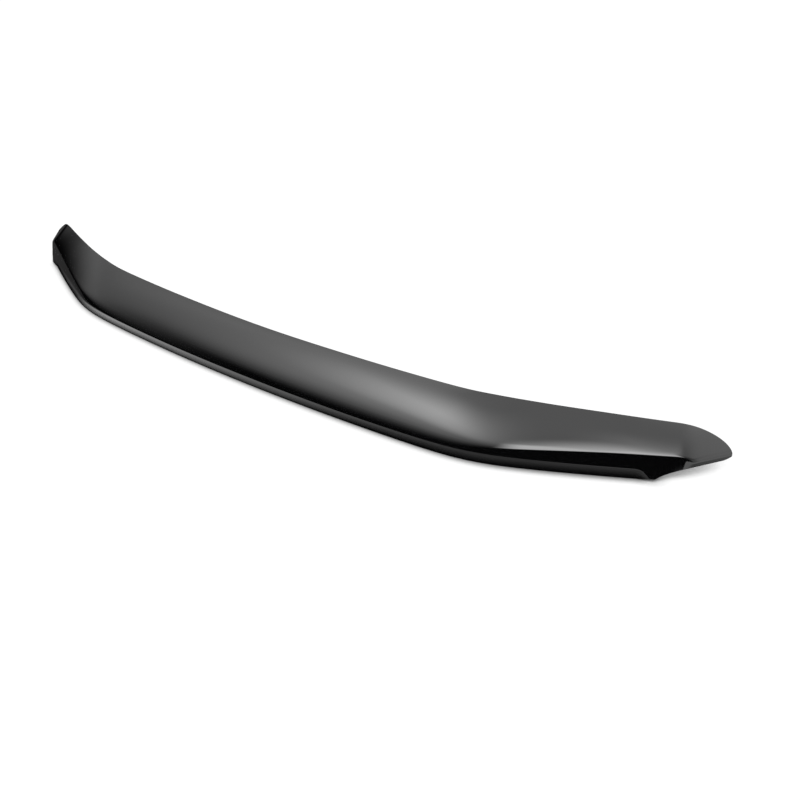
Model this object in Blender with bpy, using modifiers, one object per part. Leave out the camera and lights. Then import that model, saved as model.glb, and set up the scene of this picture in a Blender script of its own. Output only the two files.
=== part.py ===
"""Hood bug deflector: one thermoformed acrylic shield with its foam tape pads and rubber bumpers.

X runs across the vehicle, -Y faces the road ahead and +Z is up, in metres. The shield stands on its
lower edge, and is the same on both sides of x = 0. The origin is under the middle of its overall size.

The outer face is worked out in upright sections square to the lower edge. In each section n is the
distance in from the lower edge and z the height. Four surfaces meet there, each softened into the
next: the lip, the front band, the long main face, and the cap that rolls the wing's end down. The
sheet is trimmed to its outline and thickened inwards.
"""
import math

import bmesh
import bpy
from mathutils import Matrix, Vector

# Sheet
THICKNESS = 0.0030
RIM_BEVEL = 0.0005

# Lower edge in plan: a shallow arc over the middle and a bend to each swept wing
EDGE_HALF_LENGTH = 0.6892
EDGE_RADIUS = 4.525
WING_BEND = math.radians(17.34)
WING_BEND_SHARE = 0.621
WING_BEND_SPREAD = 0.0279

# Section faces, as the tilt from upright and the height of each fold
LIP_TILT = math.radians(6.0)
LIP_HEIGHT = 0.0150
LIP_TUCK = 0.0070
LIP_RUN_OUT_LENGTH = 0.0260
LIP_RUN_OUT_PAST = 0.0010
BAND_TILT = math.radians(27.0)
BAND_END_TILT = math.radians(12.0)
BAND_PIVOT_HEIGHT = 0.0338
BAND_TURN_START = 0.0130
BAND_TURN_LENGTH = 0.0560
LIP_FOLD_SOFTNESS = 0.0016
FOLD_SOFTNESS = 0.0130
CAP_SOFTNESS = 0.0070

# Main face: height near the front (at n = FACE_FRONT), height and reach of the trailing edge, and bulge,
# at the middle of the shield
FACE_FRONT = 0.005
FRONT_HEIGHT = 0.0226
REAR_HEIGHT = 0.0713
REAR_REACH = 0.0715
FACE_BULGE = 0.0040

# How those sizes change to the end: (share of EDGE_HALF_LENGTH, share of the size)
FOLD_SOFTNESS_RUN = ((0.0000, 1.0000), (0.4353, 0.9231), (0.5804, 0.5385), (0.6820, 0.1923),
                     (1.1898, 0.1692))
FRONT_HEIGHT_RUN = ((0.0000, 1.0000), (0.4353, 1.0221), (0.6094, 1.0310), (0.6965, 1.0973),
                    (0.7690, 1.1593), (0.8416, 1.2124), (0.9286, 1.2655), (1.0157, 1.2920),
                    (1.1898, 1.3274))
REAR_HEIGHT_RUN = ((0.0000, 1.0000), (0.2902, 1.0196), (0.5804, 1.0365), (0.7255, 1.0365),
                   (0.8706, 0.9972), (1.0157, 0.9187), (1.1898, 0.8275))
REAR_REACH_RUN = ((0.0000, 1.0000), (0.2902, 1.0070), (0.5804, 1.0112), (0.6529, 0.9916),
                  (0.7255, 0.9315), (0.7980, 0.8671), (0.8706, 0.8168), (1.0157, 0.7455),
                  (1.1898, 0.6643))
FACE_BULGE_RUN = ((0.0000, 1.0000), (0.5078, 0.9000), (0.7255, 0.5500), (1.1898, 0.5000))

# Wing end: the trimmed end edge climbs from the corner to a rounded tip behind it
TIP_REACH = 0.1093
TIP_ACROSS = 0.0424
END_EDGE_RISE = 0.300
END_EDGE_STEP = 0.0053
END_EDGE_STEP_LENGTH = 0.0120
END_ROUND_LENGTH = 0.0150
REAR_ROUND_LENGTH = 0.0785

# End face: it turns back past the end of the band, stands steeply and rolls over into the main face
CAP_LEAN = 0.42
CAP_FROM = 0.0375
CAP_TILT = 0.114
CAP_ROLL = 5.0
CAP_ROLL_HEIGHT = 0.0260
CAP_ROLL_WIDTH = 0.0075

# Facets along and across each half
STATIONS_EDGE = 40
STATIONS_END = 13
LIP_STEPS = 3
LIP_FOLD_STEPS = 3
BAND_STEPS = 2
FOLD_STEPS = 4
FACE_STEPS = 6

# Foam tape pads on the inside of the lip, in one run over the middle and one along each wing
PAD_COUNT_MIDDLE = 4
PAD_COUNT_WING = 2
PAD_GAP = 0.0060
PAD_CENTRE_GAP = 0.0290
PAD_BEND_GAP = 0.0680
PAD_END_GAP = 0.0125
PAD_HEIGHT = 0.0085
PAD_THICKNESS = 0.0016
PAD_BASE = 0.0016
SEAT_GAP = 0.0003

# Rubber bumpers under the trailing edge
BUMPER_RADIUS = 0.0060
BUMPER_TOP_RADIUS = 0.0042
BUMPER_HEIGHT = 0.0040
BUMPER_INSET = 0.0120
BUMPER_SEAT_RADIUS = 0.110
BUMPER_EDGE = 0.0008
BUMPER_SHARES = (0.163, 0.413, 0.701)

ROOT2 = math.sqrt(2.0)


def along(table, s):
    """Reads a table of (station, value) pairs with a smooth curve through them."""
    s = min(max(s, table[0][0]), table[-1][0])
    k = 0
    while k < len(table) - 2 and s > table[k + 1][0]:
        k += 1
    (s0, v0), (s1, v1) = table[k], table[k + 1]
    h = s1 - s0
    d = (v1 - v0) / h
    before = (v0 - table[k - 1][1]) / (s0 - table[k - 1][0]) if k > 0 else 0.0
    after = (table[k + 2][1] - v1) / (table[k + 2][0] - s1) if k < len(table) - 2 else d
    m0 = 0.5 * (before + d) if k > 0 else 0.0
    m1 = 0.5 * (d + after)
    t = (s - s0) / h
    return ((2 * t ** 3 - 3 * t ** 2 + 1) * v0 + (t ** 3 - 2 * t ** 2 + t) * h * m0
            + (-2 * t ** 3 + 3 * t ** 2) * v1 + (t ** 3 - t ** 2) * h * m1)


def ease(a, b, s):
    """Rises from 0 at a to 1 at b without a corner."""
    t = min(max((s - a) / (b - a), 0.0), 1.0)
    return t * t * (3.0 - 2.0 * t)


def soft_max(a, b, softness):
    """The larger of two distances, rounded where they meet."""
    h = max(softness - abs(a - b), 0.0) / softness
    return max(a, b) + h ** 3 * softness / 6.0


def heading(s):
    """Plan direction of the lower edge, which runs straight on past its end."""
    s = min(s, EDGE_HALF_LENGTH)
    bend_at = WING_BEND_SHARE * EDGE_HALF_LENGTH
    right = 1.0 / (1.0 + math.exp(-(s - bend_at) / WING_BEND_SPREAD))
    left = 1.0 / (1.0 + math.exp((s + bend_at) / WING_BEND_SPREAD))
    return s / EDGE_RADIUS + WING_BEND * (right - left)


def edge_point(s, steps=400):
    """Plan position of the lower edge at a distance s from the middle."""
    h = s / steps
    x = y = 0.0
    for i in range(steps):
        a = heading((i + 0.5) * h)
        x += math.cos(a) * h
        y += math.sin(a) * h
    return x, y


def face_sizes(s):
    """Front height, rear height, reach and bulge of the main face at a station."""
    share = s / EDGE_HALF_LENGTH
    return (FRONT_HEIGHT * along(FRONT_HEIGHT_RUN, share), REAR_HEIGHT * along(REAR_HEIGHT_RUN, share),
            REAR_REACH * along(REAR_REACH_RUN, share), FACE_BULGE * along(FACE_BULGE_RUN, share))


def band_face(past):
    """Tilt of the band from upright and its distance in at the foot, past the end of the edge."""
    turn = ease(BAND_TURN_START, BAND_TURN_START + BAND_TURN_LENGTH, past)
    tilt = BAND_TILT + (BAND_END_TILT - BAND_TILT) * turn
    straight = LIP_HEIGHT * (math.tan(LIP_TILT) - math.tan(BAND_TILT))
    return tilt, straight + BAND_PIVOT_HEIGHT * (math.tan(BAND_TILT) - math.tan(tilt))


def fold_across(s):
    """Diagonal distance at which the band meets the main face."""
    front, rear, reach, bulge = face_sizes(s)
    tilt, base = band_face(s - EDGE_HALF_LENGTH)
    n = FACE_FRONT
    for _ in range(14):
        f = (n - FACE_FRONT) / (reach - FACE_FRONT)
        z = front + (rear - front) * f + 4.0 * bulge * f * (1.0 - f)
        n = base + z * math.tan(tilt)
    return (n + z) / ROOT2


def outside(s, n, z):
    """Signed distance of a point from the outer face, positive in front of or above it."""
    past = s - EDGE_HALF_LENGTH
    front, rear, reach, bulge = face_sizes(s)
    f = (n - FACE_FRONT) / (reach - FACE_FRONT)
    face = front + (rear - front) * f + 4.0 * bulge * f * (1.0 - f)
    main = (z - face) * 0.80
    if past > -TIP_REACH:
        over = max(z - CAP_ROLL_HEIGHT, 0.0)
        r = min(over, CAP_ROLL_WIDTH)
        side = CAP_LEAN * (past - CAP_FROM) + CAP_TILT * z + CAP_ROLL * r * (2.0 * over - r) / REAR_REACH
        main = soft_max(main, (side - n) * 0.88, CAP_SOFTNESS)
    tilt, base = band_face(past)
    band = (z * math.tan(tilt) + base - n) * math.cos(tilt)
    untucked = LIP_TUCK * ease(LIP_RUN_OUT_PAST - LIP_RUN_OUT_LENGTH, LIP_RUN_OUT_PAST, past)
    lip = (z * math.tan(LIP_TILT) - untucked - n) * math.cos(LIP_TILT)
    folded = soft_max(main, band, FOLD_SOFTNESS * along(FOLD_SOFTNESS_RUN, s / EDGE_HALF_LENGTH))
    return soft_max(folded, lip, LIP_FOLD_SOFTNESS)


def face_point(s, p):
    """Section coordinates of the outer face at a distance p along the section's diagonal."""
    low, high = -1.12 * REAR_REACH, 1.12 * REAR_REACH
    for _ in range(34):
        q = 0.5 * (low + high)
        if outside(s, (p - q) / ROOT2, (p + q) / ROOT2) > 0.0:
            high = q
        else:
            low = q
    return (p - q) / ROOT2, (p + q) / ROOT2


def across_limits(s):
    """Diagonal distances of the lower and the trailing outline at a station."""
    past = s - EDGE_HALF_LENGTH
    beyond = max(past, 0.0)
    low = END_EDGE_RISE * beyond + END_EDGE_STEP * (1.0 - math.exp(-beyond / END_EDGE_STEP_LENGTH))
    bend = past - (TIP_REACH - END_ROUND_LENGTH)
    if bend > 0.0:
        low = TIP_ACROSS - (TIP_ACROSS - low) * math.sqrt(max(1.0 - (bend / END_ROUND_LENGTH) ** 2, 0.0))
    _, rear, reach, _ = face_sizes(s)
    high = (reach + rear) / ROOT2
    bend = past - (TIP_REACH - REAR_ROUND_LENGTH)
    if bend > 0.0:
        high = TIP_ACROSS + (high - TIP_ACROSS) * math.sqrt(max(1.0 - (bend / REAR_ROUND_LENGTH) ** 2, 0.0))
    return low, high


def across_steps(s):
    """Diagonal distances of one station's points, closer together at the folds."""
    low, high = across_limits(s)
    share = s / EDGE_HALF_LENGTH
    fold = 1.567 * LIP_HEIGHT
    fold += (fold_across(s) - fold) * ease(0.61, 0.90, share)
    half = LIP_HEIGHT * (0.267 - 0.127 * ease(0.52, 0.70, share))
    below = fold - half
    marks = [low + mark * (below - low) / below for mark in (0.0, 0.653 * LIP_HEIGHT, 0.893 * LIP_HEIGHT)]
    marks += [below, fold + half, high]
    counts = [LIP_STEPS, LIP_FOLD_STEPS, BAND_STEPS, FOLD_STEPS, FACE_STEPS]
    points = [marks[0]]
    for a, b, count in zip(marks[:-1], marks[1:], counts):
        points += [a + (b - a) * (i + 1) / count for i in range(count)]
    total = len(points) - 1
    squeeze = ease(1.070, 1.120, share)
    even = [low + (high - low) * i / total for i in range(total + 1)]
    return [a + (b - a) * squeeze for a, b in zip(points, even)]


def place(s, n, z):
    """Turns section coordinates into a point of the right-hand half."""
    x, y = edge_point(s)
    a = heading(s)
    return Vector((x - n * math.sin(a), y + n * math.cos(a), z))


def stations():
    """Stations from the middle to the tip, closer together at the bend and round the tip."""
    spots = []
    for i in range(STATIONS_EDGE + 1):
        t = i / STATIONS_EDGE
        spots.append(EDGE_HALF_LENGTH * (t - 0.030 * math.sin(2.0 * math.pi * (t - 0.62))
                                         + 0.030 * math.sin(2.0 * math.pi * (0.0 - 0.62)) * (1.0 - t)
                                         + 0.030 * math.sin(2.0 * math.pi * (1.0 - 0.62)) * t))
    for i in range(1, STATIONS_END + 1):
        spots.append(EDGE_HALF_LENGTH + (TIP_REACH - 0.0003) * math.sin(0.5 * math.pi * i / STATIONS_END))
    return spots


def material(name, colour, roughness):
    """Makes a Principled BSDF material."""
    mat = bpy.data.materials.new(name)
    mat.use_nodes = True
    shader = mat.node_tree.nodes["Principled BSDF"]
    shader.inputs["Base Color"].default_value = (*colour, 1.0)
    shader.inputs["Roughness"].default_value = roughness
    shader.inputs["Metallic"].default_value = 0.0
    mat.diffuse_color = (*colour, 1.0)
    return mat


def finish(obj, collection, mat, smooth=True):
    """Puts an object in the part's collection with its material."""
    for owner in list(obj.users_collection):
        owner.objects.unlink(obj)
    collection.objects.link(obj)
    obj.data.materials.clear()
    obj.data.materials.append(mat)
    for polygon in obj.data.polygons:
        polygon.use_smooth = smooth
    return obj


def make_shield(collection, mat):
    """Lofts the right half of the outer face, mirrors it and gives it the sheet's thickness."""
    spots = stations()
    columns = len(across_steps(0.0)) - 1
    bpy.ops.mesh.primitive_grid_add(x_subdivisions=len(spots) - 1, y_subdivisions=columns, size=2.0)
    shield = bpy.context.object
    shield.name = shield.data.name = "shield"
    rows = []
    for s in spots:
        rows.append([place(s, *face_point(s, p)) for p in across_steps(s)])
    for vertex in shield.data.vertices:
        i = round((vertex.co.x + 1.0) * 0.5 * (len(spots) - 1))
        j = round((vertex.co.y + 1.0) * 0.5 * columns)
        vertex.co = rows[i][j]
        if i == 0:
            vertex.co.x = 0.0
    mirror = shield.modifiers.new("both_halves", "MIRROR")
    mirror.use_axis = (True, False, False)
    mirror.use_clip = True
    mirror.merge_threshold = 0.0001
    sheet = shield.modifiers.new("sheet", "SOLIDIFY")
    sheet.thickness = THICKNESS
    sheet.offset = -1.0
    sheet.use_even_offset = True
    rim = shield.modifiers.new("rim", "BEVEL")
    rim.width = RIM_BEVEL
    rim.segments = 1
    rim.limit_method = "ANGLE"
    rim.angle_limit = math.radians(55.0)
    return finish(shield, collection, mat)


def inner_frame(s, p, side):
    """Place, outward normal and tangents of the outer face, for seating a piece behind it."""
    step = 0.25 * THICKNESS
    here = place(s, *face_point(s, p))
    run = place(s + step, *face_point(s + step, p)) - place(s - step, *face_point(s - step, p))
    rise = place(s, *face_point(s, p + step)) - place(s, *face_point(s, p - step))
    flip = Matrix.Diagonal((side, 1.0, 1.0))
    here, run, rise = flip @ here, (flip @ run).normalized(), (flip @ rise).normalized()
    normal = run.cross(rise) * side
    return here, normal.normalized(), run, rise


def seat(obj, origin, x_axis, z_axis):
    """Places an object by its origin and two of its axes."""
    z_axis = z_axis.normalized()
    x_axis = (x_axis - z_axis * x_axis.dot(z_axis)).normalized()
    turn = Matrix((x_axis, z_axis.cross(x_axis), z_axis)).transposed()
    obj.location = origin
    obj.rotation_euler = turn.to_euler()


def pad_runs():
    """Stations and lengths of one half's tape pads, spread over the two straight runs of the lip."""
    bend_at = WING_BEND_SHARE * EDGE_HALF_LENGTH
    end = EDGE_HALF_LENGTH + LIP_RUN_OUT_PAST - LIP_RUN_OUT_LENGTH - PAD_END_GAP
    pads = []
    middle = (0.5 * PAD_CENTRE_GAP, bend_at - PAD_BEND_GAP + 0.5 * PAD_GAP, PAD_COUNT_MIDDLE)
    wing = (bend_at + PAD_BEND_GAP, end + 0.5 * PAD_GAP, PAD_COUNT_WING)
    for start, stop, count in (middle, wing):
        pitch = (stop - start) / count
        pads += [(start + (i + 0.5) * pitch, pitch - PAD_GAP) for i in range(count)]
    return pads


def make_pad(name, s, length, side, collection, mat):
    """Makes one straight tape pad against the flat inside of the lip."""
    bpy.ops.mesh.primitive_cube_add(size=1.0)
    pad = bpy.context.object
    pad.name = pad.data.name = name
    pad.data.transform(Matrix.Diagonal((length, PAD_HEIGHT, PAD_THICKNESS, 1.0)))
    a = heading(s)
    x, y = edge_point(s)
    run = Vector((math.cos(a) * side, math.sin(a), 0.0))
    back = Vector((-math.sin(a) * side, math.cos(a), 0.0))
    up = Vector((0.0, 0.0, 1.0))
    normal = (back * math.cos(LIP_TILT) - up * math.sin(LIP_TILT))
    climb = (back * math.sin(LIP_TILT) + up * math.cos(LIP_TILT))
    sag = 0.0
    for end in (s - 0.5 * length, s + 0.5 * length):
        ex, ey = edge_point(end)
        sag = max(sag, (ey - y) * math.cos(a) - (ex - x) * math.sin(a))
    middle = (Vector((x * side, y, 0.0)) + normal * (THICKNESS + SEAT_GAP + sag + 0.5 * PAD_THICKNESS)
              + climb * (PAD_BASE + 0.5 * PAD_HEIGHT))
    seat(pad, middle, run, normal)
    return finish(pad, collection, mat, smooth=False)


def make_bumper(name, s, side, collection, mat):
    """Makes one rubber bumper, its broad end against the inside of the main face."""
    bpy.ops.mesh.primitive_cone_add(vertices=24, radius1=BUMPER_RADIUS, radius2=BUMPER_TOP_RADIUS,
                                    depth=BUMPER_HEIGHT)
    bumper = bpy.context.object
    bumper.name = bumper.data.name = name
    edge = bumper.modifiers.new("edge", "BEVEL")
    edge.width = BUMPER_EDGE
    edge.segments = 2
    edge.limit_method = "ANGLE"
    edge.angle_limit = math.radians(40.0)
    high = across_limits(s)[1]
    here, normal, run, _ = inner_frame(s, high - BUMPER_INSET, side)
    sag = BUMPER_RADIUS ** 2 / (2.0 * BUMPER_SEAT_RADIUS)
    origin = here - normal * (THICKNESS + SEAT_GAP + sag + 0.5 * BUMPER_HEIGHT)
    seat(bumper, origin, run, -normal)
    return finish(bumper, collection, mat)


def centre_under(carrier, shield):
    """Moves the whole part so that the origin is under the middle of the shield."""
    bpy.context.view_layer.update()
    mesh = shield.evaluated_get(bpy.context.evaluated_depsgraph_get()).data
    depths = [vertex.co.y for vertex in mesh.vertices]
    lowest = min(vertex.co.z for vertex in mesh.vertices)
    carrier.location = (0.0, -0.5 * (min(depths) + max(depths)), -lowest)
    bpy.context.view_layer.update()


def main():
    for obj in list(bpy.data.objects):
        bpy.data.objects.remove(obj, do_unlink=True)
    collection = bpy.data.collections.new("Hood bug deflector")
    bpy.context.scene.collection.children.link(collection)
    acrylic = material("smoke_acrylic", (0.010, 0.010, 0.011), 0.05)
    foam = material("foam_tape", (0.045, 0.045, 0.048), 0.85)
    rubber = material("bumper_rubber", (0.020, 0.020, 0.020), 0.60)
    carrier = bpy.data.objects.new("deflector", None)
    collection.objects.link(carrier)
    shield = make_shield(collection, acrylic)
    for hand, side in (("right", 1.0), ("left", -1.0)):
        for i, (s, length) in enumerate(pad_runs()):
            make_pad(f"tape_pad_{hand}_{i + 1}", s, length, side, collection, foam)
        for i, share in enumerate(BUMPER_SHARES):
            s = share * (EDGE_HALF_LENGTH + TIP_REACH)
            make_bumper(f"bumper_{hand}_{i + 1}", s, side, collection, rubber)
    for obj in collection.objects:
        if obj != carrier:
            obj.parent = carrier
    centre_under(carrier, shield)


main()
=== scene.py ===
"""Hood bug deflector: the visual model and its product photograph.

The shield is lofted again here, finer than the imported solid, from the same section faces. The foam
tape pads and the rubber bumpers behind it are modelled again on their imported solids, with their small
detail. Lengths are metres: X runs across the vehicle, -Y faces the road ahead and Z is up.
"""

import logging
import math
from dataclasses import dataclass, field
from enum import Enum
from typing import Callable

import bmesh
import bpy
from mathutils import Matrix, Vector


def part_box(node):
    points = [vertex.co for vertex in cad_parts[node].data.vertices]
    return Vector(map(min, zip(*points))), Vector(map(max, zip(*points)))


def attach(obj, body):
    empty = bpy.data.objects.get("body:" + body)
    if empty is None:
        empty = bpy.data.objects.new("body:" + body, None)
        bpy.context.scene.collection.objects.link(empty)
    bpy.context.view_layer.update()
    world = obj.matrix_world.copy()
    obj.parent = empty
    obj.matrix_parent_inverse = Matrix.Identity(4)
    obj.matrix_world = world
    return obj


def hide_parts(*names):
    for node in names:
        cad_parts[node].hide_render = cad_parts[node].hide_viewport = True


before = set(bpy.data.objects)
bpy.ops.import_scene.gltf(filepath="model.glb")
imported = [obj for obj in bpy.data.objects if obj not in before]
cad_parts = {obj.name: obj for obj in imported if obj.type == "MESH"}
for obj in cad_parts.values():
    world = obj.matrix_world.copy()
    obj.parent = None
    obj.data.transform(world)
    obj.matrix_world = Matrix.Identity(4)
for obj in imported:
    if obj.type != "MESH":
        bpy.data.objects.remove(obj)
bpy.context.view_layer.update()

LOG = logging.getLogger("hood_bug_deflector")
BODY = "root"
ROOT2 = math.sqrt(2.0)
SMOOTH_ANGLE = math.radians(40.0)
HALVINGS = 30
FOLD_ROUNDS = 14
FACING = 0.99
UPRIGHT_SHARE = 0.5
LEVEL_SHARE = 0.1
FLAT_DIGITS = 2

Table = tuple[tuple[float, float], ...]
Colour = tuple[float, float, float]
Direction = tuple[float, float, float]
Fed = bpy.types.NodeSocket | float
UP: Direction = (0.0, 0.0, 1.0)


class Slot(Enum):
    """The record's material slots."""

    ACRYLIC = "smoke_acrylic"
    FOAM = "foam_tape"
    RUBBER = "bumper_rubber"


def along(table: Table, s: float) -> float:
    """Reads a table of (station, value) pairs with a smooth curve through them.

    Args:
        table: Pairs in rising order of station.
        s: Station to read at, held within the table's ends.

    Returns:
        The value at the station.
    """
    s = min(max(s, table[0][0]), table[-1][0])
    k = 0
    while k < len(table) - 2 and s > table[k + 1][0]:
        k += 1
    (s0, v0), (s1, v1) = table[k], table[k + 1]
    h = s1 - s0
    d = (v1 - v0) / h
    before = (v0 - table[k - 1][1]) / (s0 - table[k - 1][0]) if k > 0 else 0.0
    after = (table[k + 2][1] - v1) / (table[k + 2][0] - s1) if k < len(table) - 2 else d
    m0 = 0.5 * (before + d) if k > 0 else 0.0
    m1 = 0.5 * (d + after)
    t = (s - s0) / h
    return ((2 * t ** 3 - 3 * t ** 2 + 1) * v0 + (t ** 3 - 2 * t ** 2 + t) * h * m0
            + (-2 * t ** 3 + 3 * t ** 2) * v1 + (t ** 3 - t ** 2) * h * m1)


def ease(a: float, b: float, s: float) -> float:
    """Rises from 0 at a to 1 at b without a corner.

    Args:
        a: Station where the rise begins.
        b: Station where it ends.
        s: Station to read at.

    Returns:
        A value from 0 to 1.
    """
    t = min(max((s - a) / (b - a), 0.0), 1.0)
    return t * t * (3.0 - 2.0 * t)


def soft_max(a: float, b: float, softness: float) -> float:
    """The larger of two distances, rounded where they meet.

    Args:
        a: First distance.
        b: Second distance.
        softness: Width over which one turns into the other.

    Returns:
        The rounded maximum.
    """
    h = max(softness - abs(a - b), 0.0) / softness
    return max(a, b) + h ** 3 * softness / 6.0


@dataclass(frozen=True)
class LowerEdge:
    """The lower edge in plan: a shallow arc over the middle and a bend to each swept wing."""

    half_length: float = 0.6892
    radius: float = 4.525
    bend: float = math.radians(17.34)
    bend_share: float = 0.621
    bend_spread: float = 0.0279

    @property
    def bend_at(self) -> float:
        """Distance along the edge from the middle to the bend."""
        return self.bend_share * self.half_length

    def heading(self, s: float) -> float:
        """Plan direction of the edge, which runs straight on past its end.

        Args:
            s: Distance along the edge from the middle.

        Returns:
            The direction in radians from +X.
        """
        s = min(s, self.half_length)
        right = 1.0 / (1.0 + math.exp(-(s - self.bend_at) / self.bend_spread))
        left = 1.0 / (1.0 + math.exp((s + self.bend_at) / self.bend_spread))
        return s / self.radius + self.bend * (right - left)

    def point(self, s: float, steps: int = 400) -> tuple[float, float]:
        """Plan position of the edge.

        Args:
            s: Distance along the edge from the middle.
            steps: Number of chords that the distance is walked in.

        Returns:
            Its x and y.
        """
        h = s / steps
        x = y = 0.0
        for i in range(steps):
            a = self.heading((i + 0.5) * h)
            x += math.cos(a) * h
            y += math.sin(a) * h
        return x, y


@dataclass(frozen=True)
class ShieldForm:
    """Sizes of the shield's section faces and outline."""

    edge: LowerEdge = LowerEdge()
    thickness: float = 0.0030
    lip_tilt: float = math.radians(6.0)
    lip_height: float = 0.0150
    lip_tuck: float = 0.0070
    lip_run_out: tuple[float, float] = (-0.0250, 0.0010)
    lip_softness: float = 0.0016
    band_tilt: float = math.radians(27.0)
    band_end_tilt: float = math.radians(12.0)
    band_pivot_height: float = 0.0338
    band_turn: tuple[float, float] = (0.0130, 0.0690)
    fold_softness: Table = ((0.0, 0.0130), (0.30, 0.0120), (0.40, 0.0070), (0.47, 0.0025),
                            (0.82, 0.0022))
    face_front: float = 0.005
    face_slope: float = 0.80
    front_height: Table = ((0.0, 0.0226), (0.30, 0.0231), (0.42, 0.0233), (0.48, 0.0248),
                           (0.53, 0.0262), (0.58, 0.0274), (0.64, 0.0286), (0.70, 0.0292),
                           (0.82, 0.0300))
    rear_height: Table = ((0.0, 0.0713), (0.20, 0.0727), (0.40, 0.0739), (0.50, 0.0739),
                          (0.60, 0.0711), (0.70, 0.0655), (0.82, 0.0590))
    rear_reach: Table = ((0.0, 0.0715), (0.20, 0.0720), (0.40, 0.0723), (0.45, 0.0709),
                         (0.50, 0.0666), (0.55, 0.0620), (0.60, 0.0584), (0.70, 0.0533),
                         (0.82, 0.0475))
    face_bulge: Table = ((0.0, 0.0040), (0.35, 0.0036), (0.50, 0.0022), (0.82, 0.0020))
    tip_reach: float = 0.1093
    tip_across: float = 0.0424
    end_rise: float = 0.300
    end_step: tuple[float, float] = (0.0053, 0.0120)
    end_round: float = 0.0150
    rear_round: float = 0.0785
    search_reach: float = 0.08
    cap_lean: float = 0.42
    cap_from: float = 0.0375
    cap_tilt: float = 0.114
    cap_roll_rate: float = 5.0
    cap_slope: float = 0.88
    cap_roll_height: float = 0.0260
    cap_roll_width: float = 0.0075
    cap_softness: float = 0.0070

    @property
    def cap_roll(self) -> float:
        """How fast the wing's end rolls down, tied to the main face's reach at the middle."""
        return self.cap_roll_rate / self.rear_reach[0][1]


@dataclass(frozen=True)
class Grid:
    """How many points the shield's mesh has, and where they crowd together.

    The marks and folds are distances along a section's diagonal. Each span of stations is where one
    place or width turns into the next, and the even span counts from the end of the lower edge.
    """

    edge_stations: int = 150
    end_stations: int = 44
    tip_gap: float = 0.0003
    counts: tuple[int, ...] = (8, 8, 6, 12, 22, 2)
    lip_marks: tuple[float, ...] = (0.0, 0.0098, 0.0134)
    fold: float = 0.0235
    fold_span: tuple[float, float] = (0.42, 0.62)
    fold_half: float = 0.0040
    fold_narrowing: float = 0.0019
    narrowing_span: tuple[float, float] = (0.36, 0.48)
    rim_row: float = 0.0012
    even_span: tuple[float, float] = (0.048, 0.083)


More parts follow.
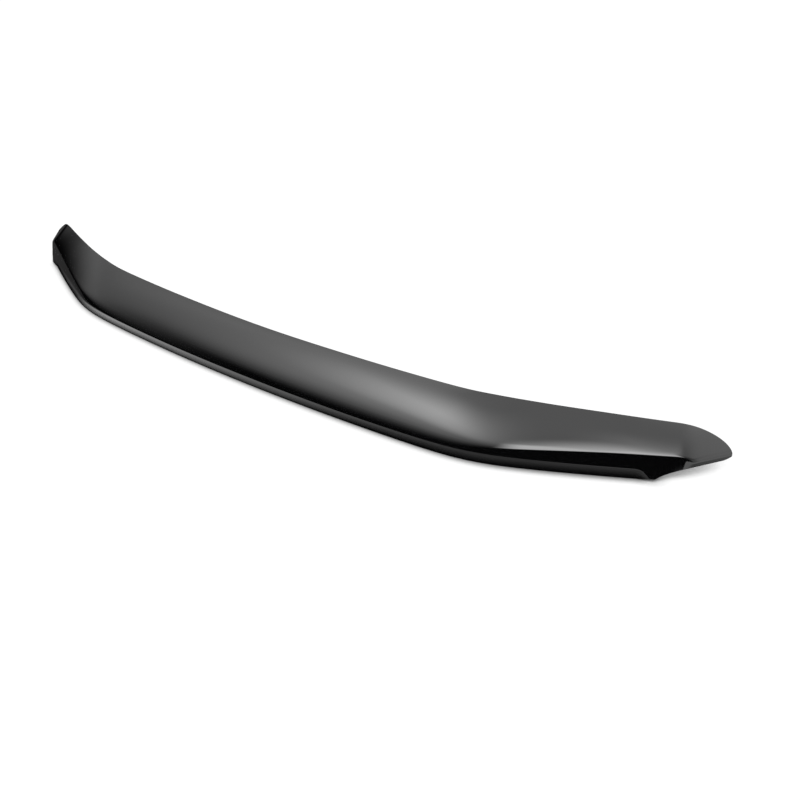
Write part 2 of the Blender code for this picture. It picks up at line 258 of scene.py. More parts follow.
class Section:
    """One upright section of the shield, square to the lower edge."""

    def __init__(self, form: ShieldForm, s: float) -> None:
        """Works out what stays the same over the section.

        Args:
            form: Sizes of the shield.
            s: Station of the section, along the lower edge from the middle.
        """
        self.form = form
        self.s = s
        self.past = s - form.edge.half_length
        self.reach = along(form.rear_reach, s)
        self.front = along(form.front_height, s)
        self.rise = along(form.rear_height, s) - self.front
        self.bulge = along(form.face_bulge, s)
        self.softness = along(form.fold_softness, s)
        turn = ease(*form.band_turn, self.past)
        self.tilt = form.band_tilt + (form.band_end_tilt - form.band_tilt) * turn
        self.base = (form.lip_height * (math.tan(form.lip_tilt) - math.tan(form.band_tilt))
                     + form.band_pivot_height * (math.tan(form.band_tilt) - math.tan(self.tilt)))
        self.untucked = form.lip_tuck * ease(*form.lip_run_out, self.past)
        self.heading = form.edge.heading(s)
        self.foot = form.edge.point(s)

    def face_height(self, n: float) -> float:
        """Height of the main face.

        Args:
            n: Distance in from the lower edge, in plan.

        Returns:
            The height.
        """
        f = (n - self.form.face_front) / (self.reach - self.form.face_front)
        return self.front + self.rise * f + 4.0 * self.bulge * f * (1.0 - f)

    def fold_across(self) -> float:
        """Where the band meets the main face.

        Returns:
            The distance along the section's diagonal.
        """
        n = self.form.face_front
        for _ in range(FOLD_ROUNDS):
            z = self.face_height(n)
            n = self.base + z * math.tan(self.tilt)
        return (n + z) / ROOT2

    def outside(self, n: float, z: float) -> float:
        """Signed distance from the outer face.

        Args:
            n: Distance in from the lower edge, in plan.
            z: Height.

        Returns:
            The distance, positive in front of or above the face.
        """
        form = self.form
        main = (z - self.face_height(n)) * form.face_slope
        if self.past > -form.tip_reach:
            over = max(z - form.cap_roll_height, 0.0)
            r = min(over, form.cap_roll_width)
            side = (form.cap_lean * (self.past - form.cap_from) + form.cap_tilt * z
                    + form.cap_roll * r * (2.0 * over - r))
            main = soft_max(main, (side - n) * form.cap_slope, form.cap_softness)
        band = (z * math.tan(self.tilt) + self.base - n) * math.cos(self.tilt)
        lip = (z * math.tan(form.lip_tilt) - self.untucked - n) * math.cos(form.lip_tilt)
        folded = soft_max(main, band, self.softness)
        return soft_max(folded, lip, form.lip_softness)

    def face_point(self, p: float) -> Vector:
        """A point of the outer face.

        Args:
            p: Distance along the section's diagonal.

        Returns:
            The point, for the right-hand half, before the shield is centred.
        """
        low, high = -self.form.search_reach, self.form.search_reach
        for _ in range(HALVINGS):
            q = 0.5 * (low + high)
            if self.outside((p - q) / ROOT2, (p + q) / ROOT2) > 0.0:
                high = q
            else:
                low = q
        n, z = (p - q) / ROOT2, (p + q) / ROOT2
        x, y = self.foot
        return Vector((x - n * math.sin(self.heading), y + n * math.cos(self.heading), z))

    def limits(self) -> tuple[float, float]:
        """Diagonal distances of the lower and the trailing outline.

        Returns:
            The lower and the higher distance.
        """
        form = self.form
        beyond = max(self.past, 0.0)
        low = form.end_rise * beyond + form.end_step[0] * (1.0 - math.exp(-beyond / form.end_step[1]))
        bend = self.past - (form.tip_reach - form.end_round)
        if bend > 0.0:
            low = form.tip_across - (form.tip_across - low) * math.sqrt(
                max(1.0 - (bend / form.end_round) ** 2, 0.0))
        high = (self.reach + self.front + self.rise) / ROOT2
        bend = self.past - (form.tip_reach - form.rear_round)
        if bend > 0.0:
            high = form.tip_across + (high - form.tip_across) * math.sqrt(
                max(1.0 - (bend / form.rear_round) ** 2, 0.0))
        return low, high

    def spread(self, grid: Grid) -> list[float]:
        """Diagonal distances of the section's points, closer together at the folds.

        Args:
            grid: Steps over the lip, its fold, the band, the upper fold, the main face and its rim.

        Returns:
            The distances, from the lower outline to the trailing one.
        """
        low, high = self.limits()
        fold = grid.fold + (self.fold_across() - grid.fold) * ease(*grid.fold_span, self.s)
        half = grid.fold_half - grid.fold_narrowing * ease(*grid.narrowing_span, self.s)
        below = fold - half
        marks = [low + mark * (below - low) / below for mark in grid.lip_marks]
        marks += [below, fold + half, high - grid.rim_row, high]
        points = [marks[0]]
        for a, b, count in zip(marks[:-1], marks[1:], grid.counts):
            points += [a + (b - a) * (i + 1) / count for i in range(count)]
        total = len(points) - 1
        end = self.form.edge.half_length
        start, stop = grid.even_span
        squeeze = ease(end + start, end + stop, self.s)
        even = [low + (high - low) * i / total for i in range(total + 1)]
        return [a + (b - a) * squeeze for a, b in zip(points, even)]


@dataclass(frozen=True)
class Ramp:
    """How one value follows another: where the change starts and stops, and the value there."""

    start: float
    stop: float
    low: float
    high: float
    smooth: bool = True


@dataclass(frozen=True)
class Relief:
    """How far a pattern stands out of a surface."""

    strength: float
    depth: float


def opaque(colour: Colour) -> tuple[float, float, float, float]:
    """A colour with full opacity."""
    return (*colour, 1.0)


def new_material(name: str) -> bpy.types.Material:
    """Starts a node material with a Principled BSDF.

    Args:
        name: Name of the material.

    Returns:
        The material.
    """
    mat = bpy.data.materials.new(name)
    mat.use_nodes = True
    return mat


class NodeMaths:
    """Short ways to add maths to a node tree."""

    def __init__(self, tree: bpy.types.NodeTree) -> None:
        """Starts on a node tree.

        Args:
            tree: The tree to add to.
        """
        self.nodes = tree.nodes
        self.links = tree.links

    def feed(self, socket: bpy.types.NodeSocket, value: Fed) -> None:
        """Links or sets an input.

        Args:
            socket: The input.
            value: The socket that feeds it, or its value.
        """
        if isinstance(value, bpy.types.NodeSocket):
            self.links.new(value, socket)
        else:
            socket.default_value = value

    def maths(self, operation: str, first: Fed, second: Fed = 0.0) -> bpy.types.NodeSocket:
        """One Math node.

        Args:
            operation: The node's operation.
            first: First value or the socket that gives it.
            second: Second value or the socket that gives it.

        Returns:
            The node's result.
        """
        node = self.nodes.new("ShaderNodeMath")
        node.operation = operation
        self.feed(node.inputs[0], first)
        self.feed(node.inputs[1], second)
        return node.outputs["Value"]

    def ramp(self, value: bpy.types.NodeSocket, ramp: Ramp) -> bpy.types.NodeSocket:
        """Carries a value from one range to another.

        Args:
            value: The value to carry over.
            ramp: Where the result changes, and from what to what.

        Returns:
            The result.
        """
        node = self.nodes.new("ShaderNodeMapRange")
        node.interpolation_type = "SMOOTHSTEP" if ramp.smooth else "LINEAR"
        ends = {"From Min": ramp.start, "From Max": ramp.stop, "To Min": ramp.low, "To Max": ramp.high}
        for name, number in ends.items():
            node.inputs[name].default_value = number
        self.links.new(value, node.inputs["Value"])
        return node.outputs["Result"]

    def split(self, vector: bpy.types.NodeSocket) -> bpy.types.NodeOutputs:
        """Parts a vector.

        Args:
            vector: The vector.

        Returns:
            Outputs named X, Y and Z.
        """
        node = self.nodes.new("ShaderNodeSeparateXYZ")
        self.links.new(vector, node.inputs["Vector"])
        return node.outputs


class Surface(NodeMaths):
    """The material of a piece, with patterns that read its Object coordinates."""

    def __init__(self, slot: Slot, colour: Colour) -> None:
        """Starts the material.

        Args:
            slot: Slot that it is named after.
            colour: Its colour in the viewport.
        """
        self.material = new_material(slot.value)
        super().__init__(self.material.node_tree)
        self.material.diffuse_color = opaque(colour)
        self.inputs = self.nodes["Principled BSDF"].inputs
        self.place = self.nodes.new("ShaderNodeTexCoord").outputs["Object"]

    def noise(self, scale: float, detail: float) -> bpy.types.NodeSocket:
        """Adds a noise pattern.

        Args:
            scale: How fine it is.
            detail: How many finer layers it has.

        Returns:
            The pattern.
        """
        node = self.nodes.new("ShaderNodeTexNoise")
        node.inputs["Scale"].default_value = scale
        node.inputs["Detail"].default_value = detail
        self.links.new(self.place, node.inputs["Vector"])
        return node.outputs["Fac"]

    def raise_by(self, pattern: bpy.types.NodeSocket, relief: Relief) -> None:
        """Lets a pattern show as relief.

        Args:
            pattern: Height over the surface.
            relief: How far it stands out.
        """
        bump = self.nodes.new("ShaderNodeBump")
        bump.inputs["Strength"].default_value = relief.strength
        bump.inputs["Distance"].default_value = relief.depth
        self.links.new(pattern, bump.inputs["Height"])
        self.links.new(bump.outputs["Normal"], self.inputs["Normal"])


@dataclass(frozen=True)
class AcrylicFinish:
    """Thermoformed smoke acrylic: almost black, glossy, with the faintest waviness of the sheet."""

    slot: Slot = Slot.ACRYLIC
    colour: Colour = (0.0020, 0.0020, 0.0022)
    ior: float = 1.49
    coat: float = 1.0
    coat_roughness: float = 0.02
    haze_scale: float = 14.0
    haze_detail: float = 4.0
    roughness: Ramp = Ramp(0.35, 0.70, 0.0360, 0.0585, smooth=False)
    wave_scale: float = 9.0
    wave_detail: float = 1.0
    wave: Relief = Relief(0.05, 0.0006)

    def build(self) -> bpy.types.Material:
        """Makes the material.

        Returns:
            The new material.
        """
        sheet = Surface(self.slot, self.colour)
        haze = sheet.noise(self.haze_scale, self.haze_detail)
        sheet.links.new(sheet.ramp(haze, self.roughness), sheet.inputs["Roughness"])
        sheet.raise_by(sheet.noise(self.wave_scale, self.wave_detail), self.wave)
        sheet.inputs["Base Color"].default_value = opaque(self.colour)
        sheet.inputs["IOR"].default_value = self.ior
        sheet.inputs["Coat Weight"].default_value = self.coat
        sheet.inputs["Coat Roughness"].default_value = self.coat_roughness
        return sheet.material


@dataclass(frozen=True)
class FoamFinish:
    """Closed-cell acrylic foam of the mounting tape."""

    slot: Slot = Slot.FOAM
    colour: Colour = (0.045, 0.045, 0.048)
    darkest: float = 0.75
    lightest: float = 1.35
    roughness: float = 0.85
    cell_scale: float = 1600.0
    cells: Relief = Relief(0.35, 0.0003)

    def build(self) -> bpy.types.Material:
        """Makes the material.

        Returns:
            The new material.
        """
        foam = Surface(self.slot, self.colour)
        cells = foam.nodes.new("ShaderNodeTexVoronoi")
        cells.inputs["Scale"].default_value = self.cell_scale
        foam.links.new(foam.place, cells.inputs["Vector"])
        # Painted shade: each cell is darker in its hollow middle and lighter towards its raised rim.
        cell_shade = foam.nodes.new("ShaderNodeMix")
        cell_shade.data_type = "RGBA"
        for socket, share in ((cell_shade.inputs[6], self.darkest), (cell_shade.inputs[7], self.lightest)):
            socket.default_value = (*[part * share for part in self.colour], 1.0)
        foam.links.new(cells.outputs["Distance"], cell_shade.inputs[0])
        foam.links.new(cell_shade.outputs[2], foam.inputs["Base Color"])
        foam.raise_by(cells.outputs["Distance"], self.cells)
        foam.inputs["Roughness"].default_value = self.roughness
        return foam.material


@dataclass(frozen=True)
class RubberFinish:
    """Moulded black rubber of the bumpers."""

    slot: Slot = Slot.RUBBER
    colour: Colour = (0.020, 0.020, 0.020)
    grain_scale: float = 900.0
    grain_detail: float = 6.0
    roughness: Ramp = Ramp(0.0, 1.0, 0.50, 0.72, smooth=False)
    grain: Relief = Relief(0.25, 0.0002)

    def build(self) -> bpy.types.Material:
        """Makes the material.

        Returns:
            The new material.
        """
        rubber = Surface(self.slot, self.colour)
        grain = rubber.noise(self.grain_scale, self.grain_detail)
        rubber.links.new(rubber.ramp(grain, self.roughness), rubber.inputs["Roughness"])
        rubber.raise_by(grain, self.grain)
        rubber.inputs["Base Color"].default_value = opaque(self.colour)
        return rubber.material


def settle(obj: bpy.types.Object, mat: bpy.types.Material) -> None:
    """Applies an object's modifiers and place, gives it its material and shades it smooth.

    Args:
        obj: The object to settle.
        mat: Its material.
    """
    bpy.ops.object.select_all(action="DESELECT")
    bpy.context.view_layer.objects.active = obj
    obj.select_set(True)
    for modifier in list(obj.modifiers):
        bpy.ops.object.modifier_apply(modifier=modifier.name)
    bpy.ops.object.transform_apply(location=True, rotation=True, scale=True)
    obj.data.materials.clear()
    obj.data.materials.append(mat)
    bpy.ops.object.shade_smooth_by_angle(angle=SMOOTH_ANGLE)
    obj.select_set(False)


def hand_over(obj: bpy.types.Object, node: str) -> bpy.types.Object:
    """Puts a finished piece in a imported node's place.

    Args:
        obj: The finished piece.
        node: Name of the node that it stands for.

    Returns:
        The piece.
    """
    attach(obj, BODY)
    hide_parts(node)
    return obj


def pick_edges(obj: bpy.types.Object, wanted: Callable[[Vector, Vector], bool]) -> None:
    """Selects edges of the object that is being edited.

    Args:
        obj: The object, in edit mode.
        wanted: Whether an edge between two points is to be selected.
    """
    bpy.ops.mesh.select_all(action="DESELECT")
    mesh = bmesh.from_edit_mesh(obj.data)
    for edge in mesh.edges:
        a, b = edge.verts
        edge.select_set(wanted(a.co, b.co))
    mesh.select_flush_mode()
    bmesh.update_edit_mesh(obj.data)


def pick_face(obj: bpy.types.Object, way: Vector) -> None:
    """Selects the broadest face that looks one way, of the object that is being edited.

    Args:
        obj: The object, in edit mode.
        way: Direction that the face looks in.
    """
    bpy.ops.mesh.select_mode(type="FACE")
    bpy.ops.mesh.select_all(action="DESELECT")
    mesh = bmesh.from_edit_mesh(obj.data)
    broadest = max((face for face in mesh.faces if face.normal.dot(way) > FACING),
                   key=lambda face: face.calc_area())
    broadest.select_set(True)
    bmesh.update_edit_mesh(obj.data)


def copy_of(first: bpy.types.Object, name: str) -> bpy.types.Object:
    """Copies a finished piece, with a mesh of its own.

    Args:
        first: The piece.
        name: Name of the copy.

    Returns:
        The copy.
    """
    copy = bpy.data.objects.new(name, first.data.copy())
    bpy.context.scene.collection.objects.link(copy)
    return copy


def rough_way(polygon: bpy.types.MeshPolygon) -> tuple[float, ...]:
    """A face's normal, rounded so that the faces of one flat share it."""
    return tuple(round(part, FLAT_DIGITS) for part in polygon.normal)


@dataclass(frozen=True)
class Seat:
    """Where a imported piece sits: its middle, its own axes and its size along them.

    The third axis is square to the piece's broadest flat, and the second to its next one.
    """

    middle: Vector
    turn: Matrix
    size: Vector

    @classmethod
    def of(cls, name: str) -> "Seat":
        """Reads a node's mesh.

        Args:
            name: Name of the node.

        Returns:
            The node's seat.
        """
        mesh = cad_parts[name].data
        flats: dict[tuple[float, ...], float] = {}
        for polygon in mesh.polygons:
            way = rough_way(polygon)
            flats[way] = flats.get(way, 0.0) + polygon.area
        broad = max(flats, key=lambda way: flats[way])
        up = max((polygon for polygon in mesh.polygons if rough_way(polygon) == broad),
                 key=lambda polygon: polygon.area).normal.normalized()
        side = max(mesh.polygons, key=lambda polygon: polygon.area * (1.0 - abs(polygon.normal.dot(up))))
        back = (side.normal - up * side.normal.dot(up)).normalized()
        turn = Matrix((back.cross(up), back, up)).transposed()
        spots = [turn.transposed() @ vertex.co for vertex in mesh.vertices]
        low = Vector([min(spot[k] for spot in spots) for k in range(3)])
        high = Vector([max(spot[k] for spot in spots) for k in range(3)])
        return cls(turn @ (0.5 * (low + high)), turn, high - low)

    @classmethod
    def all_of(cls, kind: str) -> dict[str, "Seat"]:
        """Reads the seats of all the nodes of one kind.

        Args:
            kind: How the nodes' names start.

        Returns:
            Each node's seat, by its name.
        """
        return {name: cls.of(name) for name in sorted(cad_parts) if name.startswith(kind)}

    def place(self, obj: bpy.types.Object) -> None:
        """Moves a piece that is modelled round the origin onto the seat.

        Args:
            obj: The piece.
        """
        obj.data.transform(Matrix.Translation(self.middle) @ self.turn.to_4x4())


@dataclass
class Shield:
    """The acrylic shield."""

    finish: AcrylicFinish = field(default_factory=AcrylicFinish)
    form: ShieldForm = field(default_factory=ShieldForm)
    grid: Grid = field(default_factory=Grid)
    merge_reach: float = 0.00002
    rim_width: float = 0.0007
    rim_segments: int = 3
    rim_angle: float = math.radians(55.0)

    def stations(self) -> list[float]:
        """Stations from the middle to the tip, closer together at the bend and round the tip.

        Returns:
            The stations in rising order.
        """
        end = self.form.edge.half_length
        reach = self.form.tip_reach - self.grid.tip_gap
        edge, tip = self.grid.edge_stations, self.grid.end_stations
        spots = [end * i / edge for i in range(edge + 1)]
        spots += [end + reach * math.sin(0.5 * math.pi * i / tip) for i in range(1, tip + 1)]
        return spots

    def build(self) -> list[bpy.types.Object]:
        """Lofts the right half of the outer face, mirrors it and thickens the sheet inwards.

        Returns:
            The shield, as the only piece.
        """
        spots = self.stations()
        columns = sum(self.grid.counts)
        bpy.ops.mesh.primitive_grid_add(x_subdivisions=len(spots) - 1, y_subdivisions=columns, size=2.0)
        shield = bpy.context.object
        shield.name = shield.data.name = "shield_sheet"
        rows = []
        for s in spots:
            section = Section(self.form, s)
            rows.append([section.face_point(p) for p in section.spread(self.grid)])
        for vertex in shield.data.vertices:
            i = round((vertex.co.x + 1.0) * 0.5 * (len(spots) - 1))
            j = round((vertex.co.y + 1.0) * 0.5 * columns)
            vertex.co = rows[i][j]
            if i == 0:
                vertex.co.x = 0.0
        mirror = shield.modifiers.new("both_halves", "MIRROR")
        mirror.use_clip = True
        mirror.merge_threshold = self.merge_reach
        sheet = shield.modifiers.new("sheet", "SOLIDIFY")
        sheet.thickness = self.form.thickness
        sheet.offset = -1.0
        sheet.use_even_offset = True
        rim = shield.modifiers.new("rim", "BEVEL")
        rim.width = self.rim_width
        rim.segments = self.rim_segments
        rim.limit_method = "ANGLE"
        rim.angle_limit = self.rim_angle
        rim.harden_normals = True
        settle(shield, self.finish.build())
        self.fit(shield)
        return [hand_over(shield, "shield")]

    def fit(self, shield: bpy.types.Object) -> None:
        """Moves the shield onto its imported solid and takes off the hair's breadth that it is larger.

        Args:
            shield: The finished shield.
        """
        low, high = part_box("shield")
        spots = [vertex.co for vertex in shield.data.vertices]
        least = Vector([min(spot[k] for spot in spots) for k in range(3)])
        most = Vector([max(spot[k] for spot in spots) for k in range(3)])
        trim = Matrix.Diagonal([(high[k] - low[k]) / (most[k] - least[k]) for k in range(3)]).to_4x4()
        shield.data.transform(Matrix.Translation(low) @ trim @ Matrix.Translation(-least))


@dataclass
class TapePads:
    """The die-cut foam tape pads inside the lip, each a foam core between two adhesive films."""

    finish: FoamFinish = field(default_factory=FoamFinish)
    corner: float = 0.0012
    rim: float = 0.00008
    film: float = 0.00022
    step: float = 0.00012
    corner_segments: int = 6
    rim_segments: int = 2

    def model(self, size: Vector) -> bpy.types.Object:
        """Models one pad round the origin.

        Args:
            size: Its length, height and thickness.

        Returns:
            The pad.
        """
        bpy.ops.mesh.primitive_cube_add(size=1.0, scale=size)
        pad = bpy.context.object
        bpy.ops.object.transform_apply(location=False, rotation=False, scale=True)
        bpy.ops.object.mode_set(mode="EDIT")
        bpy.ops.mesh.select_mode(type="EDGE")
        pick_edges(pad, lambda a, b: abs(a.z - b.z) > UPRIGHT_SHARE * size.z)
        bpy.ops.mesh.bevel(offset=self.corner, segments=self.corner_segments, affect="EDGES")
        pick_edges(pad, lambda a, b: abs(a.z - b.z) < LEVEL_SHARE * size.z)
        bpy.ops.mesh.bevel(offset=self.rim, segments=self.rim_segments, affect="EDGES")
        core = 0.5 * size.z - self.film
        for height in (-core, self.step - core, core - self.step, core):
            bpy.ops.mesh.select_all(action="SELECT")
            bpy.ops.mesh.bisect(plane_co=(0.0, 0.0, height), plane_no=(0.0, 0.0, 1.0))
        pick_edges(pad, lambda a, b: max(abs(a.z), abs(b.z)) < core - 0.5 * self.step)
        narrower = (1.0 - 2.0 * self.step / size.x, 1.0 - 2.0 * self.step / size.y, 1.0)
        bpy.ops.transform.resize(value=narrower, center_override=(0.0, 0.0, 0.0))
        bpy.ops.object.mode_set(mode="OBJECT")
        return pad

    def build(self) -> list[bpy.types.Object]:
        """Models one pad and copies it to every pad's place, drawn out to its length.

        Returns:
            The pads.
        """
        seats = Seat.all_of("tape_pad")
        size = next(iter(seats.values())).size
        first = self.model(size)
        settle(first, self.finish.build())
        pads = []
        for name, seat in seats.items():
            pad = copy_of(first, f"foam_{name}")
            longer = 0.5 * (seat.size.x - size.x)
            for vertex in pad.data.vertices:
                vertex.co.x += longer if vertex.co.x > 0.0 else -longer
            seat.place(pad)
            pads.append(hand_over(pad, name))
        bpy.data.objects.remove(first)
        return pads


@dataclass
class Bumpers:
    """The rubber bumpers under the trailing edge, each with a dished foot."""

    finish: RubberFinish = field(default_factory=RubberFinish)
    sides: int = 64
    foot_share: float = 0.70
    rounded_share: float = 0.953
    edge: float = 0.0008
    edge_segments: int = 5
    land: float = 0.0007
    dish_slope: float = 0.0006
    dish_depth: float = 0.0005

    def model(self, size: Vector) -> bpy.types.Object:
        """Models one bumper round the origin, its foot down.

        Args:
            size: Its width both ways and its height.

        Returns:
            The bumper.
        """
        radius = 0.5 * min(size.x, size.y) / self.rounded_share
        bpy.ops.mesh.primitive_cone_add(vertices=self.sides, radius1=self.foot_share * radius,
                                        radius2=radius, depth=size.z)
        bumper = bpy.context.object
        bpy.ops.object.mode_set(mode="EDIT")
        bpy.ops.mesh.select_mode(type="EDGE")
        pick_edges(bumper, lambda a, b: abs(a.z - b.z) < LEVEL_SHARE * size.z)
        bpy.ops.mesh.bevel(offset=self.edge, segments=self.edge_segments, affect="EDGES")
        pick_face(bumper, Vector((0.0, 0.0, -1.0)))
        bpy.ops.mesh.inset(thickness=self.land)
        bpy.ops.mesh.inset(thickness=self.dish_slope, depth=-self.dish_depth)
        bpy.ops.object.mode_set(mode="OBJECT")
        return bumper

    def build(self) -> list[bpy.types.Object]:
        """Models one bumper and copies it to every bumper's place.

        Returns:
            The bumpers.
        """
        seats = Seat.all_of("bumper")
        first = self.model(next(iter(seats.values())).size)
        settle(first, self.finish.build())
        bumpers = []
        for name, seat in seats.items():
            bumper = copy_of(first, f"rubber_{name}")
            seat.place(bumper)
            bumpers.append(hand_over(bumper, name))
        bpy.data.objects.remove(first)
        return bumpers


@dataclass
class Camera:
    """The photograph's camera."""

    azimuth: float = 32.455
    elevation: float = 32.399
    roll: float = -0.1093
    distance: float = 1.3
    focal_pixels: float = 718.85
    centre_pixels: tuple[float, float] = (391.0, 351.0)
    target: tuple[float, float, float] = (0.1717, 0.1114, 0.0003)
    picture_pixels: float = 800.0
    sensor_width: float = 36.0
    clip: tuple[float, float] = (0.02, 100.0)

    def build(self) -> bpy.types.Object:
        """Makes the camera and sets it as the scene's.

        Returns:
            The camera.
        """
        a, e, roll = (math.radians(v) for v in (self.azimuth, self.elevation, self.roll))
        back = Vector((math.sin(a) * math.cos(e), -math.cos(a) * math.cos(e), math.sin(e)))
        right = Vector((math.cos(a), math.sin(a), 0.0))
        up = back.cross(right)
        x_axis = right * math.cos(roll) + up * math.sin(roll)
        y_axis = up * math.cos(roll) - right * math.sin(roll)
        data = bpy.data.cameras.new("camera")
        camera = bpy.data.objects.new("camera", data)
        bpy.context.scene.collection.objects.link(camera)
        turn = Matrix((x_axis, y_axis, back)).transposed().to_4x4()
        turn.translation = Vector(self.target) + back * self.distance
        camera.matrix_world = turn
        middle = 0.5 * self.picture_pixels
        data.sensor_width = self.sensor_width
        data.lens = self.focal_pixels / self.picture_pixels * self.sensor_width
        data.shift_x = (middle - self.centre_pixels[0]) / self.picture_pixels
        data.shift_y = (self.centre_pixels[1] - middle) / self.picture_pixels
        data.clip_start, data.clip_end = self.clip
        bpy.context.scene.camera = camera
        return camera


@dataclass(frozen=True)
class Panel:
    """A soft light panel, as the part of the sky that it covers, in degrees.

    Azimuth is 0 straight ahead of the object and grows towards +X. Each half size is where the
    panel has half its strength, and each feather is the width of its soft edge.
    """

    name: str
    azimuth: float
    elevation: float
    half_width: float
    half_height: float
    feather_width: float
    feather_height: float
    strength: float


PANELS: tuple[Panel, ...] = (
    Panel("ceiling", 17.0, 77.0, 110.0, 33.0, 31.0, 41.0, 1.02),
    Panel("key", -33.0, 51.0, 22.0, 13.5, 42.0, 34.0, 1.38),
    Panel("key_core", -27.0, 60.0, 27.0, 6.0, 60.0, 15.0, 2.46),
    Panel("right_strip", 35.3, 44.3, 17.3, 12.0, 12.0, 7.0, 4.46),
    Panel("right_core", 54.0, 56.0, 6.0, 2.0, 32.0, 15.0, 2.54),
    Panel("left_side", -101.0, 55.0, 42.5, 39.0, 40.0, 16.0, 0.48),
    Panel("right_side", 115.0, 22.0, 22.0, 36.0, 46.0, 45.0, 1.56),
    Panel("right_low", 80.0, 5.0, 22.0, 25.0, 17.0, 14.0, 0.56),
    Panel("back", 180.0, 45.0, 62.0, 25.0, 24.0, 16.0, 3.40),
)


class LightMap(NodeMaths):
    """Node maths that draws panels in the world's directions."""

    def __init__(self, world: bpy.types.World) -> None:
        """Starts from a world's node tree.

        Args:
            world: The world to draw in.
        """
        super().__init__(world.node_tree)
        self.way = self.nodes.new("ShaderNodeTexCoord").outputs["Generated"]
        self.height = self.degrees(self.maths("ARCSINE", self.split(self.way)["Z"]))

    def degrees(self, angle: bpy.types.NodeSocket) -> bpy.types.NodeSocket:
        """An angle in degrees, from one in radians."""
        return self.maths("MULTIPLY", angle, 180.0 / math.pi)

    def soft_step(self, off: bpy.types.NodeSocket, half: float, feather: float) -> bpy.types.NodeSocket:
        """1 near the middle of a panel and 0 past its soft edge.

        Args:
            off: Distance from the middle.
            half: Distance at which it is one half.
            feather: Width of the soft edge.

        Returns:
            The share of the panel's strength.
        """
        return self.ramp(off, Ramp(half - 0.5 * feather, half + 0.5 * feather, 1.0, 0.0))

    def panel(self, panel: Panel) -> bpy.types.NodeSocket:
        """Draws one panel.

        Args:
            panel: The panel.

        Returns:
            Its light in each direction.
        """
        turn = self.nodes.new("ShaderNodeVectorRotate")
        turn.label = panel.name
        turn.rotation_type = "Z_AXIS"
        turn.inputs["Angle"].default_value = -math.radians(panel.azimuth)
        self.links.new(self.way, turn.inputs["Vector"])
        parts = self.split(turn.outputs["Vector"])
        ahead = self.maths("MULTIPLY", parts["Y"], -1.0)
        side = self.maths("ABSOLUTE", self.maths("ARCTAN2", parts["X"], ahead))
        across = self.soft_step(self.degrees(side), panel.half_width, panel.feather_width)
        off = self.maths("ABSOLUTE", self.maths("SUBTRACT", self.height, panel.elevation))
        up = self.soft_step(off, panel.half_height, panel.feather_height)
        return self.maths("MULTIPLY", self.maths("MULTIPLY", across, up), panel.strength)


@dataclass(frozen=True)
class OpenSky:
    """How the open share of the sky over a point of the floor sets the light there."""

    reach: float
    light: Ramp
    lean: Direction = UP
    samples: int = 8

    def share(self, tree: NodeMaths) -> bpy.types.NodeSocket:
        """How much of the sky over a point of the floor is open.

        Args:
            tree: The floor's node tree.

        Returns:
            1 in the open and 0 where the object covers it all, within reach.
        """
        node = tree.nodes.new("ShaderNodeAmbientOcclusion")
        node.samples = self.samples
        node.inputs["Distance"].default_value = self.reach
        if self.lean != UP:
            way = tree.nodes.new("ShaderNodeCombineXYZ")
            for socket, value in zip(way.inputs, self.lean):
                socket.default_value = value
            tree.links.new(way.outputs["Vector"], node.inputs["Normal"])
        return node.outputs["AO"]


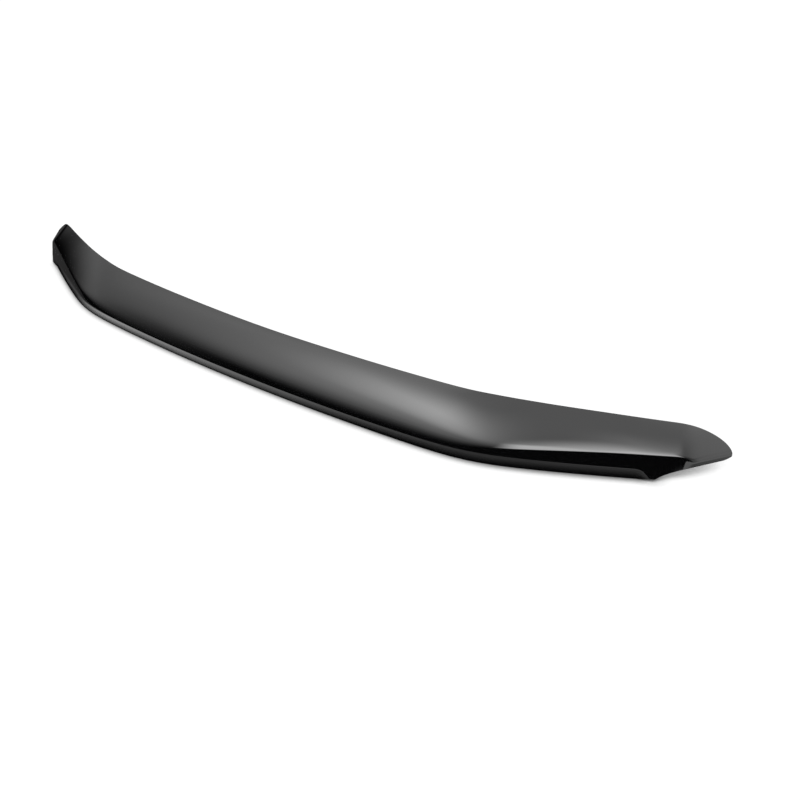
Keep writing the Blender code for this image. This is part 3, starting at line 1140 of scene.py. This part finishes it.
@dataclass
class Studio:
    """The white floor, the soft panels of light round it and the dark room behind them.

    The contact and the cover make the floor's shadow: the first close along the object's edges, the
    second beneath its raised ends. The pool is light on the floor, seen in reflection only.
    """

    panels: tuple[Panel, ...]
    floor_level: float = -0.0002
    floor_size: float = 30.0
    paint: Colour = (0.06, 0.06, 0.06)
    bounce: Colour = (0.80, 0.80, 0.80)
    contact: OpenSky = OpenSky(0.015, Ramp(0.50, 0.94, 0.08, 0.96, smooth=False), (-0.50, 0.0, 0.87))
    cover: OpenSky = OpenSky(0.070, Ramp(0.60, 0.86, 0.18, 1.0), (0.38, -0.60, 0.71))
    mirrored: OpenSky = OpenSky(0.030, Ramp(0.68, 0.90, 0.0, 1.0, smooth=False))
    closer: Ramp = Ramp(0.05, 0.40, 0.02, 0.10)
    pool_start: Ramp = Ramp(-0.70, -0.55, 0.05, 0.15)
    pool_rise: Ramp = Ramp(-0.52, -0.36, 0.0, 1.50)
    pool_fall: Ramp = Ramp(-0.36, 0.50, 1.0, 0.18)
    pool_end: Ramp = Ramp(0.74, 0.90, 0.0, 0.70)

    def build(self) -> None:
        """Makes the studio round the object."""
        self.world()
        self.floor()

    def world(self) -> None:
        """White to the camera and through glass, and the panels in a dark room to everything else."""
        world = bpy.data.worlds.new("studio")
        bpy.context.scene.world = world
        world.use_nodes = True
        light = LightMap(world)
        total: Fed = 0.0
        for panel in self.panels:
            total = light.maths("ADD", light.panel(panel), total)
        path = light.nodes.new("ShaderNodeLightPath")
        seen = light.nodes.new("ShaderNodeMix")
        through = light.maths("MAXIMUM", path.outputs["Is Camera Ray"], path.outputs["Is Transmission Ray"])
        light.links.new(through, seen.inputs[0])
        light.links.new(total, seen.inputs[2])
        seen.inputs[3].default_value = 1.0
        background = light.nodes["Background"]
        background.inputs["Color"].default_value = opaque((1.0, 1.0, 1.0))
        light.links.new(seen.outputs[0], background.inputs["Strength"])

    def floor(self) -> None:
        """Makes the floor, white to the camera but for the object's shadow."""
        bpy.ops.mesh.primitive_plane_add(size=self.floor_size, location=(0.0, 0.0, self.floor_level))
        floor = bpy.context.object
        floor.name = "floor"
        floor.data.materials.append(self.floor_paint())

    def shadow(self, tree: NodeMaths) -> bpy.types.NodeSocket:
        """The object's shadow.

        Args:
            tree: The floor's node tree.

        Returns:
            The floor's light to the camera, 1 where it is all white.
        """
        touch = tree.ramp(self.contact.share(tree), self.contact.light)
        cover = tree.ramp(self.cover.share(tree), self.cover.light)
        return tree.maths("MULTIPLY", touch, cover)

    def pool(self, tree: NodeMaths, across: bpy.types.NodeSocket) -> bpy.types.NodeSocket:
        """The pool of light that a glossy face mirrors, dark close under the object.

        Args:
            tree: The floor's node tree.
            across: Place across the vehicle.

        Returns:
            The floor's light to a glossy face.
        """
        # Painted shade in the mirrored floor: the dark edge near the object reaches further out towards +X.
        closer = tree.ramp(across, self.closer)
        open_share = tree.maths("SUBTRACT", self.mirrored.share(tree), closer)
        mirrored = tree.ramp(open_share, self.mirrored.light)
        pool = tree.maths("ADD", tree.ramp(across, self.pool_start), tree.ramp(across, self.pool_rise))
        pool = tree.maths("MULTIPLY", pool, tree.ramp(across, self.pool_fall))
        pool = tree.maths("ADD", pool, tree.ramp(across, self.pool_end))
        return tree.maths("MULTIPLY", pool, mirrored)

    def floor_paint(self) -> bpy.types.Material:
        """Makes the floor's material.

        It shows its shadow to the camera and through glass, the pool to a glossy face, and a plain
        pale floor to soft light that bounces.

        Returns:
            The material.
        """
        mat = new_material("floor_white")
        tree = NodeMaths(mat.node_tree)
        nodes, links = tree.nodes, tree.links
        nodes.remove(nodes["Principled BSDF"])
        path = nodes.new("ShaderNodeLightPath").outputs
        across = tree.split(nodes.new("ShaderNodeTexCoord").outputs["Object"])["X"]
        level = nodes.new("ShaderNodeMix")
        links.new(path["Is Glossy Ray"], level.inputs[0])
        links.new(self.shadow(tree), level.inputs[2])
        links.new(self.pool(tree, across), level.inputs[3])
        glow = nodes.new("ShaderNodeEmission")
        links.new(level.outputs[0], glow.inputs["Strength"])
        paint, bounce = (nodes.new("ShaderNodeBsdfDiffuse") for _ in range(2))
        paint.inputs["Color"].default_value = opaque(self.paint)
        bounce.inputs["Color"].default_value = opaque(self.bounce)
        lit = nodes.new("ShaderNodeAddShader")
        links.new(paint.outputs["BSDF"], lit.inputs[0])
        links.new(glow.outputs["Emission"], lit.inputs[1])
        looked = nodes.new("ShaderNodeMixShader")
        links.new(path["Is Glossy Ray"], looked.inputs[0])
        links.new(lit.outputs["Shader"], looked.inputs[1])
        links.new(glow.outputs["Emission"], looked.inputs[2])
        direct = tree.maths("MAXIMUM", path["Is Camera Ray"], path["Is Glossy Ray"])
        seen = tree.maths("MAXIMUM", direct, path["Is Transmission Ray"])
        pick = nodes.new("ShaderNodeMixShader")
        links.new(seen, pick.inputs[0])
        links.new(bounce.outputs["BSDF"], pick.inputs[1])
        links.new(looked.outputs["Shader"], pick.inputs[2])
        links.new(pick.outputs["Shader"], nodes["Material Output"].inputs["Surface"])
        return mat


def write_sizes() -> None:
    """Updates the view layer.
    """
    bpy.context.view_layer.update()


def main() -> None:
    """Builds the object, the studio and the camera, and reports each piece."""
    logging.basicConfig(level=logging.INFO, format="%(message)s")
    bpy.ops.object.select_all(action="DESELECT")
    for assembly in (Shield(), TapePads(), Bumpers()):
        for piece in assembly.build():
            LOG.info("%s: %d faces", piece.name, len(piece.data.polygons))
    Studio(PANELS).build()
    Camera().build()
    bpy.context.scene.view_settings.view_transform = "Standard"
    write_sizes()


if __name__ == "__main__":
    main()
